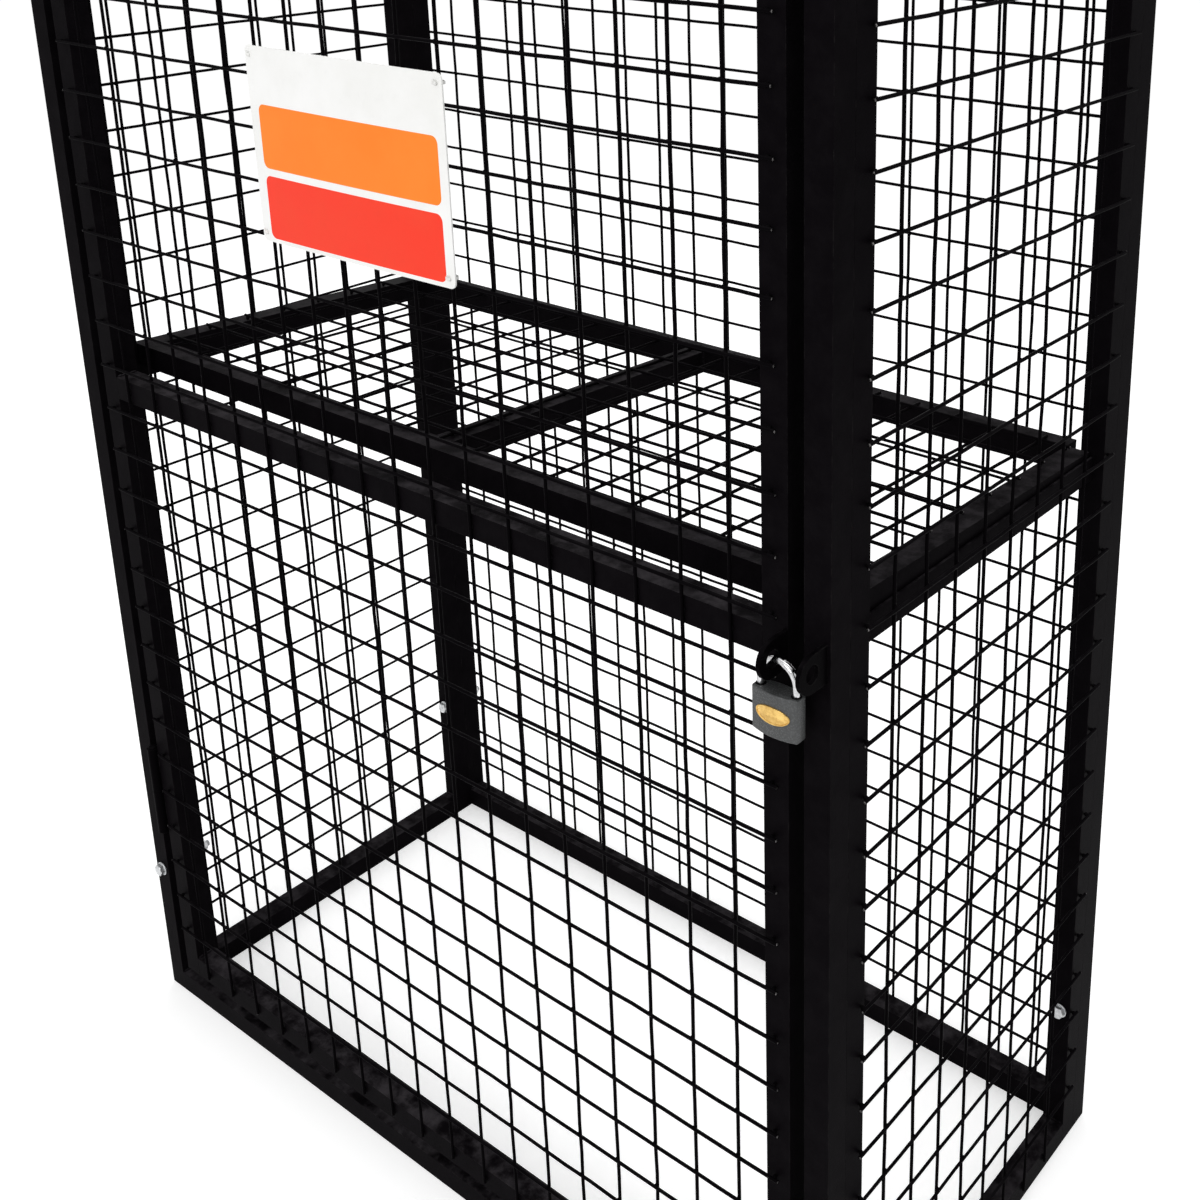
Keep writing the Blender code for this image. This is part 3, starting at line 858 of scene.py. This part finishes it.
# %% Welds on the shelf
welds = Shape()
WELD_BELOW = 0.002
shelf_inner = SHELF_HALF_X - BAR
shelf_ends = (SHELF_MIDDLE - SHELF_HALF_Y + BAR, SHELF_MIDDLE + SHELF_HALF_Y - BAR)
for y in shelf_ends:
    places = [(x, y) for x in (-shelf_inner, -BAR / 2, BAR / 2, shelf_inner)]
    corner_welds(welds, places, 2, (SHELF_TOP - BAR + WELD_IN, SHELF_TOP - WELD_BELOW), BEAD)
made = welds.make("shelf_welds", "panel_paint", "cage", "panel_paint")
made.data.transform(slope)

# %% [markdown]
# The panels are bolted together near the floor and near the top. Each bolt goes from front to back through
# two bars: through the front post into the side panel, and through the side panel into the rear post. A bolt
# is turned from a profile: every ring of points has a height and, for a hexagon, a radius that changes round
# the ring. That gives the chamfer of the head with no cutting.

# %% Zinc bolts, washers and nuts
HEX = 0.0065
WASHER = 0.0085
ROUND = 24
CHAMFER = 0.0066
THREADS = 5
THREAD_PITCH = 0.0008
BOLT_FROM_END = 0.175


def hexagon(turn):
    """Distance from the middle to the side of a hexagon, for a turn in radians."""
    return HEX / math.cos((turn + math.pi / 6) % (math.pi / 3) - math.pi / 6)


def turned(shape, centre, way, profile, spin=0.0):
    """A solid turned about world Y. The profile lists heights, each with a radius or a rule for one."""
    rings = []
    for height, radius in profile:
        ring = []
        for step in range(ROUND):
            turn = 2 * math.pi * step / ROUND
            size = radius(turn) if callable(radius) else radius
            offset = Vector((size * math.cos(turn + spin), way * height, size * math.sin(turn + spin)))
            ring.append(Vector(centre) + offset)
        rings.append(ring)
    shape.stack(rings)


def chamfered(turn):
    """Distance to the side of a hexagon whose corners are cut off."""
    return min(hexagon(turn), CHAMFER)


def washer(shape, centre, way):
    rings = [(0.0, WASHER - 0.0002), (0.0002, WASHER), (0.0012, WASHER), (0.0015, WASHER - 0.0003)]
    turned(shape, centre, way, rings)


def bolt_head(shape, centre, way, spin):
    washer(shape, centre, way)
    rings = [(0.0015, hexagon), (0.0060, hexagon), (0.0067, chamfered), (0.0068, 0.0058), (0.0066, 0.0052)]
    turned(shape, centre, way, rings, spin)


def nut(shape, centre, way, spin):
    """A nut on a washer, with the end of the bolt standing out of it."""
    washer(shape, centre, way)
    rings = [(0.0015, chamfered), (0.0021, hexagon), (0.0070, hexagon), (0.0078, chamfered), (0.0079, 0.0048)]
    turned(shape, centre, way, rings, spin)
    rings = [(0.0070, 0.0040)]
    for thread in range(THREADS):
        low = 0.0080 + thread * THREAD_PITCH
        rings += [(low, 0.0036), (low + THREAD_PITCH / 2, 0.0040)]
    rings.append((0.0124, 0.0033))
    turned(shape, centre, way, rings)


BOLT_HEIGHTS = (BOLT_FROM_END, TOP - BOLT_FROM_END)
for side, sign in (("left", -1), ("right", 1)):
    x = sign * (RIGHT - BAR / 2)
    front_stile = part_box("side_stile_front_" + side)[1].y
    rear_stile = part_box("side_stile_rear_" + side)[0].y
    bolts = Shape()
    for z in BOLT_HEIGHTS:
        bolt_head(bolts, (x, FRONT, z), -1, chance.uniform(0, 1))
        nut(bolts, (x, front_stile, z), 1, chance.uniform(0, 1))
        bolt_head(bolts, (x, rear_stile, z), -1, chance.uniform(0, 1))
        nut(bolts, (x, REAR, z), 1, chance.uniform(0, 1))
    bolts.make("panel_bolts_" + side, "zinc", "cage", "frame_paint", 30)
print("bolts at", BOLT_HEIGHTS)

# %% [markdown]
# Each hinge has a pin, and the pin's round heads stand out at both ends of the barrel. They are domes turned
# about the pin's axis, so they use the same kind of profile, laid along Z.

# %% Hinge pins
PIN_SIDES = 20


def upright(shape, x, y, z, way, profile):
    """A solid turned about world Z, from a profile of heights and radii."""
    rings = []
    for height, radius in profile:
        turns = [2 * math.pi * step / PIN_SIDES for step in range(PIN_SIDES)]
        rings.append([(x + radius * math.cos(t), y + radius * math.sin(t), z + way * height) for t in turns])
    shape.stack(rings)


pin_heads = Shape()
DOME = [(0.0, 0.0050), (0.0012, 0.0050), (0.0020, 0.0044), (0.0026, 0.0032), (0.0028, 0.0012)]
pin_x, pin_y = frame["joints"][0]["pos_m"][:2]
for place in ("lower", "upper"):
    upright(pin_heads, pin_x, pin_y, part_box("hinge_" + place + "_frame")[0].z, -1, DOME)
    upright(pin_heads, pin_x, pin_y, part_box("hinge_" + place + "_door")[1].z, 1, DOME)
pin_heads.make("hinge_pins", "lug_paint", "cage", "lug_paint", 40)
print("hinge pins at", pin_x, pin_y)

# %% [markdown]
# The padlock has a cast body in hammered lacquer, a chromed shackle and an oval brass badge held by two small
# rivets. Each part is remade with a finer shape than its solid, and hangs a few millimetres lower, where the
# photograph has it. Seen from above, the body is a lens: thick in the middle and thin at its sides. Its
# outline is stacked at several heights, a little smaller at both ends, which rounds the top and the bottom.

# %% Padlock body
LOCK_X = 0.4803
LOCK_Y = sum(corner.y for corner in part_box("padlock_body")) / 2
LOCK_LOW, LOCK_HIGH = 0.7620, 0.7993
HALF_LOCK = 0.0216
SIDE_DEPTH = 0.0052
BULGE = 0.0038
CORNER_IN, CORNER_BACK = 0.0004, 0.0006


def lock_depth(x):
    """Half the body's depth at a distance x from its middle."""
    return SIDE_DEPTH + BULGE * (1 - (x / HALF_LOCK) ** 2)


def lock_outline(z, inset):
    """The lens seen from above, made smaller by inset, with its corners just broken."""
    half = HALF_LOCK - inset
    xs = [-half + CORNER_IN] + [half * (step / 8 - 1) for step in range(1, 16)] + [half - CORNER_IN]
    front = [(x, -lock_depth(x) + inset) for x in xs]
    edge = -lock_depth(half) + inset + CORNER_BACK
    corners = [(half, edge), (half, -edge)]
    back = [(x, -y) for x, y in reversed(front)]
    far = [(-half, -edge), (-half, edge)]
    return [(LOCK_X + x, LOCK_Y + y, z) for x, y in front + corners + back + far]


body = Shape()
ROUNDING = ((0.0, 0.0012), (0.0002, 0.0006), (0.0006, 0.0002), (0.0012, 0.0))
rings = [lock_outline(LOCK_LOW + height, inset) for height, inset in ROUNDING]
rings += [lock_outline(LOCK_HIGH - height, inset) for height, inset in reversed(ROUNDING)]
body.stack(rings)
made = body.make("lock_case", "lock_body", "door", "lock_body", 50)
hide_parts("padlock_body")

plug = Shape()
plug_profile = [(-0.001, 0.0052), (0.0003, 0.0052), (0.0005, 0.0049), (0.0005, 0.0010)]
upright(plug, LOCK_X, LOCK_Y, LOCK_LOW, -1, plug_profile)
plug.make("lock_keyway", "lock_brass", "door", "lock_brass", 40)
print("lock body", round(2000 * HALF_LOCK, 1), "x", round(1000 * (LOCK_HIGH - LOCK_LOW), 1), "mm")

# %% [markdown]
# The shackle is one round bar, bent in a half circle through the hole of the door's lug. It is swept along
# that line as a tube, with enough points in the bend to look smooth. Where its legs enter the body, a thin
# ring in the fittings' black paint is painted shade: it stands for the shade inside the drilled hole's edge.

# %% Shackle
SHACKLE_RADIUS = 0.0031
BEND = 0.0168
SHACKLE_TOP = 0.8272
BEND_STEPS = 32
LEG_SUNK = 0.001

top_of_legs = SHACKLE_TOP - SHACKLE_RADIUS - BEND
line = [(LOCK_X - BEND, LOCK_Y, LOCK_HIGH - LEG_SUNK)]
for step in range(BEND_STEPS + 1):
    turn = math.pi * (1 - step / BEND_STEPS)
    line.append((LOCK_X + BEND * math.cos(turn), LOCK_Y, top_of_legs + BEND * math.sin(turn)))
line.append((LOCK_X + BEND, LOCK_Y, LOCK_HIGH - LEG_SUNK))
bow = Shape()
bow.tube(line, SHACKLE_RADIUS, sides=20, across=(0, 1, 0))
made = bow.make("lock_bow", "lock_chrome", "door", "lock_chrome")
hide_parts("padlock_shackle")

# Thin black rings of painted shade where the shackle's legs enter the body.
hole_shade_rings = Shape()
hole_shade_profile = [(-0.0005, 0.0042), (0.0002, 0.0042), (0.0004, 0.0039), (0.0002, 0.0034)]
for sign in (-1, 1):
    upright(hole_shade_rings, LOCK_X + sign * BEND, LOCK_Y, LOCK_HIGH, 1, hole_shade_profile)
hole_shade_rings.make("lock_hole_shade_rings", "lug_paint", "door", "lug_paint", 40)
print("shackle bend", round(1000 * BEND, 1), "mm")

# %% [markdown]
# The badge is pressed from thin brass: a raised rim round a shallow dome. The same oval is stacked at several
# heights, each a little smaller, and every point follows the curve of the body. Two rivets hold it.

# %% Badge
BADGE = (0.0160, 0.0074)
BADGE_Z = 0.7816
BADGE_SIDES = 48
BADGE_RIM = [(-0.0004, 1.0), (0.0006, 1.0), (0.0011, 0.96), (0.0011, 0.90), (0.0004, 0.84), (0.0007, 0.60)]
BADGE_RIM += [(0.0009, 0.25)]
RIVET = (0.0010, 0.0006, 0.0010)
RIVET_X, RIVET_LIFT = 0.0123, 0.0006


def on_badge(across, up, height):
    """A point on the badge, height in front of the lock body."""
    return (LOCK_X + across, LOCK_Y - lock_depth(across) - height, BADGE_Z + up)


badge = Shape()
rings = []
for height, share in BADGE_RIM:
    width = BADGE[0] - BADGE[1] * (1 - share)
    turns = [2 * math.pi * step / BADGE_SIDES for step in range(BADGE_SIDES)]
    rings.append([on_badge(width * math.cos(t), BADGE[1] * share * math.sin(t), height) for t in turns])
badge.stack(rings)
for sign in (-1, 1):
    badge.bead(on_badge(sign * RIVET_X, 0, RIVET_LIFT), RIVET, 10, 6)
made = badge.make("lock_badge", "lock_brass", "door", "lock_brass", 50)
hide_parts("padlock_badge")
print("badge", [round(2000 * part, 1) for part in BADGE], "mm")

# %% [markdown]
# The sign is a thin plastic sheet with rounded corners, printed with an orange and a red band. It isn't quite
# flat, because it hangs by its corners. One function makes such a sheet from narrow strips: the corner's
# arc sets how tall each strip is, and the whole is then pushed forward in the middle.

# %% Sign
sign_low, sign_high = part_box("sign_plate")
SIGN_X = (sign_low.x + sign_high.x) / 2
SIGN_Z = (sign_low.z + sign_high.z) / 2
HALF_WIDTH = (sign_high.x - sign_low.x) / 2
HALF_HEIGHT = (sign_high.z - sign_low.z) / 2
BOW = 0.0016
BOW_EASE = 0.35  # how much less it bows at its top and bottom
CORNER_STEPS, FLAT_STEPS = 6, 12
SHEET_CORNER, SHEET_THICK = 0.006, 0.0015
BAND_CORNER = 0.007
PRINT_BACK, PRINT_FRONT = 0.0014, 0.0016


def sign_face(x, z, ahead):
    """A place on the bowed sign. ahead is how far it stands in front of the sheet's back."""
    across = 1 - ((x - SIGN_X) / HALF_WIDTH) ** 2
    down = 1 - BOW_EASE * ((z - SIGN_Z) / HALF_HEIGHT) ** 2
    return (x, sign_high.y - ahead - BOW * max(0.0, across) * down, z)


def rounded_sheet(shape, low, high, radius, back, front, rows=8):
    """A sheet with rounded corners, between two distances from the sign's back."""
    arc = [radius * (1 - math.cos(math.pi / 2 * step / CORNER_STEPS)) for step in range(CORNER_STEPS + 1)]
    flat = high[0] - low[0] - 2 * radius
    xs = [low[0] + part for part in arc]
    xs += [low[0] + radius + flat * step / FLAT_STEPS for step in range(1, FLAT_STEPS)]
    xs += [high[0] - part for part in reversed(arc)]
    middle = (low[1] + high[1]) / 2
    points = []
    for x in xs:
        beyond = max(0.0, low[0] + radius - x, x - (high[0] - radius))
        tall = (high[1] - low[1]) / 2 - radius + math.sqrt(max(0.0, radius**2 - beyond**2))
        for ahead in (back, front):
            for row in range(rows + 1):
                points.append(sign_face(x, middle + tall * (2 * row / rows - 1), ahead))
    count = rows + 1
    ring = list(range(count)) + list(range(2 * count - 1, count - 1, -1))
    faces = []
    for index in range(len(xs) - 1):
        first = index * 2 * count
        after = first + 2 * count
        for step in range(len(ring)):
            one = ring[step]
            two = ring[(step + 1) % len(ring)]
            faces.append((first + one, first + two, after + two, after + one))
    for first, order in ((0, 1), ((len(xs) - 1) * 2 * count, -1)):
        for row in range(rows):
            quad = (first + row, first + count + row, first + count + row + 1, first + row + 1)
            faces.append(quad[::order])
    shape.add(points, faces)


sheet = Shape()
rounded_sheet(sheet, (sign_low.x, sign_low.z), (sign_high.x, sign_high.z), SHEET_CORNER, 0.0, SHEET_THICK)
made = sheet.make("sign_sheet", "sign_white", "door", "sign_white", 40)
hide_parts("sign_plate")
BANDS = {
    "sign_band_upper": ("band_orange", (-0.1200, 1.1165), (0.1225, 1.1755)),
    "sign_band_lower": ("band_red", (-0.1195, 1.0500), (0.1220, 1.1095)),
}
for name, (finish, low, high) in BANDS.items():
    band = Shape()
    rounded_sheet(band, low, high, BAND_CORNER, PRINT_BACK, PRINT_FRONT, 4)
    band.make(name, finish, "door", "sign_white", 40)
print("sign", round(2000 * HALF_WIDTH), "x", round(2000 * HALF_HEIGHT), "mm")

# %% [markdown]
# Four nylon ties hold the sign to the mesh, one near each corner. Each goes through the sheet, round an upright
# wire of the door and back into its own small head, with a cut tail. The loop is a flat strap on an oval.

# %% Cable ties
TIE_IN = 0.0065
TIE_WIDTH = 0.0025
TIE_THICK = 0.0008
TIE_DOWN = 0.0085
TIE_SLACK = 0.0030
TIE_Y, TIE_DEEP = -0.2401, 0.0046
TIE_STEPS = 24
TIE_HEAD = (0.0021, 0.0016, 0.0019)
HEAD_AHEAD = 0.0014
TAIL_AHEAD, TAIL_UP = 0.0006, 0.0013
TAIL_RADIUS = 0.0007


def strap(shape, line, width, thick):
    """A closed flat band along a line that lies in a level plane."""
    points = []
    for index, point in enumerate(line):
        point = Vector(point)
        ahead = Vector(line[(index + 1) % len(line)]) - Vector(line[index - 1])
        out = ahead.cross(Vector((0, 0, 1))).normalized()
        for side, lift in ((-1, 0), (-1, 1), (1, 1), (1, 0)):
            points.append(point + Vector((0, 0, side * width / 2)) + out * lift * thick)
    count = len(line)
    faces = []
    for index in range(count):
        low = 4 * index
        after = 4 * ((index + 1) % count)
        for corner in range(4):
            other = (corner + 1) % 4
            faces.append((low + corner, after + corner, after + other, low + other))
    shape.add(points, faces)


ties = Shape()
for hole in (sign_low.x + TIE_IN, sign_high.x - TIE_IN):
    wire = min(door_columns, key=lambda x: abs(x - hole))
    across = abs(hole - wire) / 2 + TIE_SLACK
    middle = (hole + wire) / 2
    for z in (sign_low.z + TIE_DOWN, sign_high.z - TIE_DOWN):
        loop = []
        for step in range(TIE_STEPS):
            turn = 2 * math.pi * step / TIE_STEPS
            loop.append((middle + across * math.cos(turn), TIE_Y + TIE_DEEP * math.sin(turn), z))
        strap(ties, loop, TIE_WIDTH, TIE_THICK)
        head = Vector((hole, sign_low.y - HEAD_AHEAD, z))
        ties.bead(head, TIE_HEAD, 10, 6)
        tail = [head + Vector((0, -TAIL_AHEAD * step, TAIL_UP * step)) for step in range(4)]
        ties.tube(tail, TAIL_RADIUS, sides=6)
ties.make("sign_ties", "tie_nylon", "door", "sign_white", 40)
print("4 ties")

# %% [markdown]
# Last, the view transform is set to Standard.

# %% Finish
bpy.context.scene.view_settings.view_transform = "Standard"
